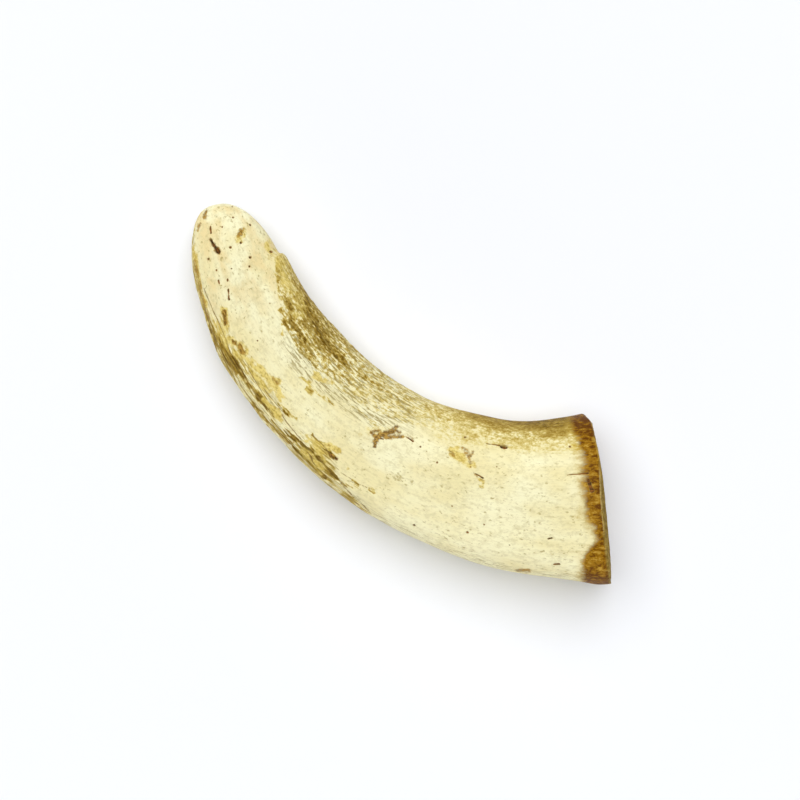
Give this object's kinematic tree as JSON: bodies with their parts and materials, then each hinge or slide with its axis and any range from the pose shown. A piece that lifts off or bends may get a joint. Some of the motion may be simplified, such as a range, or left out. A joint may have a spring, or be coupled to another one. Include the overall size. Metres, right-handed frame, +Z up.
{
  "type": "buffalo horn core",
  "caption": "Curved bony core of a buffalo's horn: blunt pared tip, thick sawn base with a small sinus hollow, grooved brown flanks. It lies loose on its side.",
  "frame": {"origin": "on the surface that it lies on, under the middle of its bounding box", "axes": "+X the way the sawn end faces, within 12 degrees; +Y towards the inside of the bend, and the tip lies at the far -X, +Y corner; +Z up, across the bend, as it lies on its side"},
  "size_m": [0.1394, 0.1258, 0.0419],
  "materials": {
    "bone": "dry, satin to matt bone, pale on the pared faces and brown on the flanks and the sawn end"
  },
  "bodies": {
    "root": {"horn_core": "bone"}
  },
  "joints": []
}
